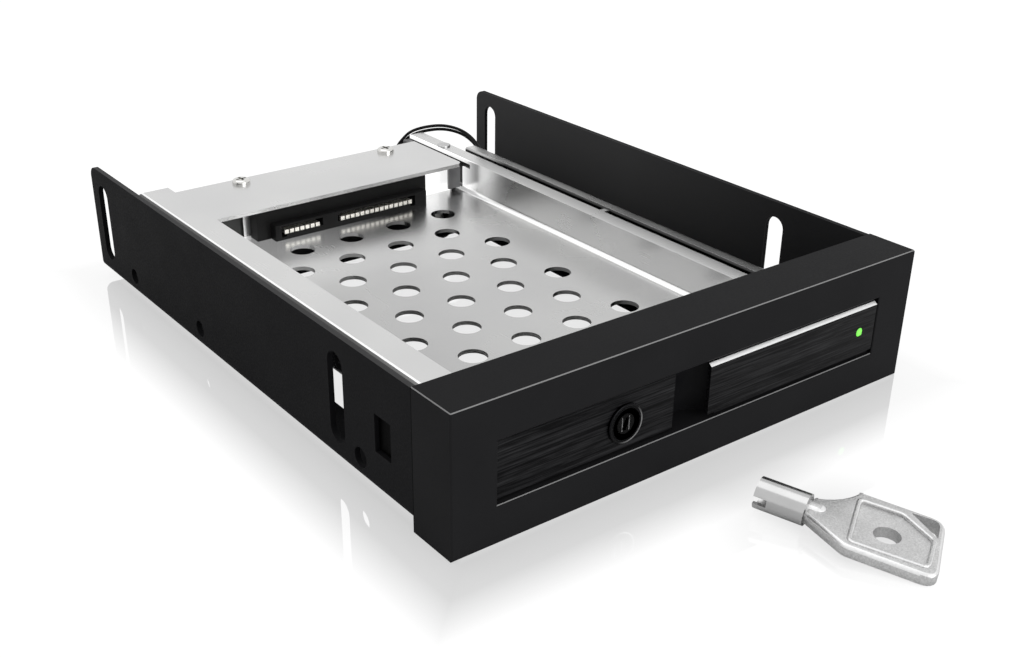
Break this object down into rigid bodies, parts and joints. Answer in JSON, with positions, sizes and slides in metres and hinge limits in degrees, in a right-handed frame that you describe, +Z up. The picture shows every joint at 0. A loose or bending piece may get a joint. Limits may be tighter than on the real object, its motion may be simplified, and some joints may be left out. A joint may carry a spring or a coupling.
{
  "type": "hot swap drive cage",
  "caption": "Bay bracket with a bezel, a lockable hinged door, a sheet-metal drive tray with its socket, a door-driven ejector and a loose tubular key.",
  "frame": {"origin": "centre of the bezel's underside", "axes": "+X to the right seen from the front, +Y from the front to the back, +Z up"},
  "size_m": [0.1016, 0.1821, 0.025],
  "materials": {
    "black_coat": "fine powder coat",
    "bezel_plastic": "fine moulded grain",
    "door_plastic": "fine moulded grain",
    "pin_steel": "plain",
    "black_brushed": "fine streaks along X",
    "pipe_green": "polished",
    "lamp_green": "polished",
    "lock_nickel": "satin",
    "core_steel": "satin",
    "screw_nickel": "polished",
    "tray_steel": "zinc-coated sheet, satin",
    "guide_plastic": "smooth",
    "rod_steel": "dull zinc",
    "board_black": "lacquered",
    "socket_plastic": "smooth",
    "plug_plastic": "smooth",
    "contact_gold": "bright",
    "lead_skin": "smooth",
    "key_cast": "fine cast grain",
    "key_polished": "polished"
  },
  "bodies": {
    "chassis": {"bay_bracket": "black_coat", "front_bezel": "bezel_plastic", "hinge_pins": "pin_steel", "lamp": "lamp_green", "drive_tray": "tray_steel", "eject_rail": "tray_steel", "rod_guides": "guide_plastic", "guide_post": "pin_steel", "tray_standoffs": "screw_nickel", "bridge_posts": "screw_nickel", "base_screws": "screw_nickel", "bridge_screws": "screw_nickel", "backplane_board": "board_black", "board_screws": "screw_nickel", "drive_socket": "socket_plastic", "signal_contacts": "contact_gold", "power_contacts": "contact_gold", "data_socket": "socket_plastic", "power_socket": "socket_plastic", "lead_plug": "plug_plastic", "lamp_lead_a": "lead_skin", "lamp_lead_b": "lead_skin"},
    "door": {"door_body": "door_plastic", "lock_panel": "black_brushed", "grip_plate": "black_brushed", "light_pipe": "pipe_green", "lock_body": "lock_nickel", "lock_nut": "pin_steel"},
    "lock": {"lock_core": "core_steel", "lock_cam": "pin_steel", "cam_screw": "screw_nickel"},
    "ejector": {"eject_rod": "rod_steel", "eject_carriage": "rod_steel", "carriage_rivets": "pin_steel"},
    "key": {"key_bow": "key_cast", "key_barrel": "key_polished"}
  },
  "joints": [
    {"name": "door_hinge", "type": "hinge", "parent": "chassis", "child": "door", "pos_m": [0.0403, -0.0033, 0.0123], "axis": [0, 0, 1], "range_deg": [0, 90]},
    {"name": "lock_turn", "type": "hinge", "parent": "door", "child": "lock", "pos_m": [-0.01705, 0, 0.0119], "axis": [0, 1, 0], "range_deg": [0, 90]},
    {"name": "eject_slide", "type": "slide", "parent": "chassis", "child": "ejector", "axis": [0, -1, 0], "range_m": [0, 0.0108]},
    {"name": "key_lift", "type": "slide", "parent": "chassis", "child": "key", "axis": [0, 0, 1], "range_m": [0, 0.05]}
  ],
  "couplings": [
    {"joint": "eject_slide", "follows": "door_hinge", "m_per_rad": 0.006812}
  ]
}
